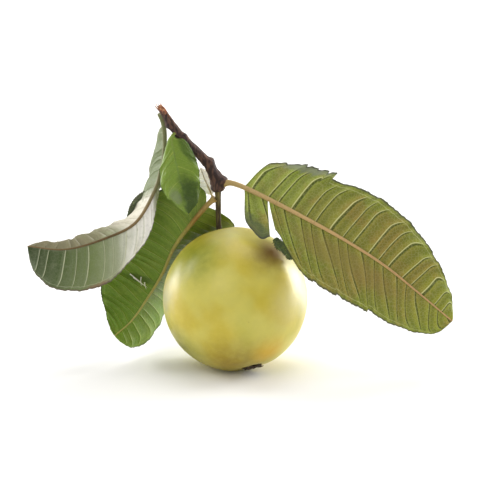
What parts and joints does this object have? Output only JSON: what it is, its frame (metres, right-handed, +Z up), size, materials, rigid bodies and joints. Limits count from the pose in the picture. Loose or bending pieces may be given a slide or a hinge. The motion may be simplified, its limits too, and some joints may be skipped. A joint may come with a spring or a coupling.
{
  "type": "guava",
  "caption": "Round yellow-green guava on its stalk and twig, with leaves; rests on a small flat spot.",
  "frame": {"origin": "centre of the small flat spot that the fruit rests on", "axes": "+Z up from the surface it rests on, +X towards the tip of the long right-hand leaf, +Y away from the side that shows the leaves' veined undersides"},
  "size_m": [0.1778, 0.0709, 0.1123],
  "materials": {
    "fruit_skin": "satin",
    "dried_calyx": "matte",
    "stalk_skin": "matte",
    "bark": "matte",
    "olive_leaf": "satin",
    "green_leaf": "satin",
    "pale_leaf": "matte",
    "fresh_leaf": "satin",
    "cream_leaf": "matte"
  },
  "bodies": {
    "root": {"fruit": "fruit_skin", "calyx": "dried_calyx", "fruit_stalk": "stalk_skin", "twig": "bark", "leaf_right": "olive_leaf", "leaf_back": "green_leaf", "leaf_left": "pale_leaf", "leaf_small": "fresh_leaf", "young_leaf": "cream_leaf"}
  },
  "joints": []
}
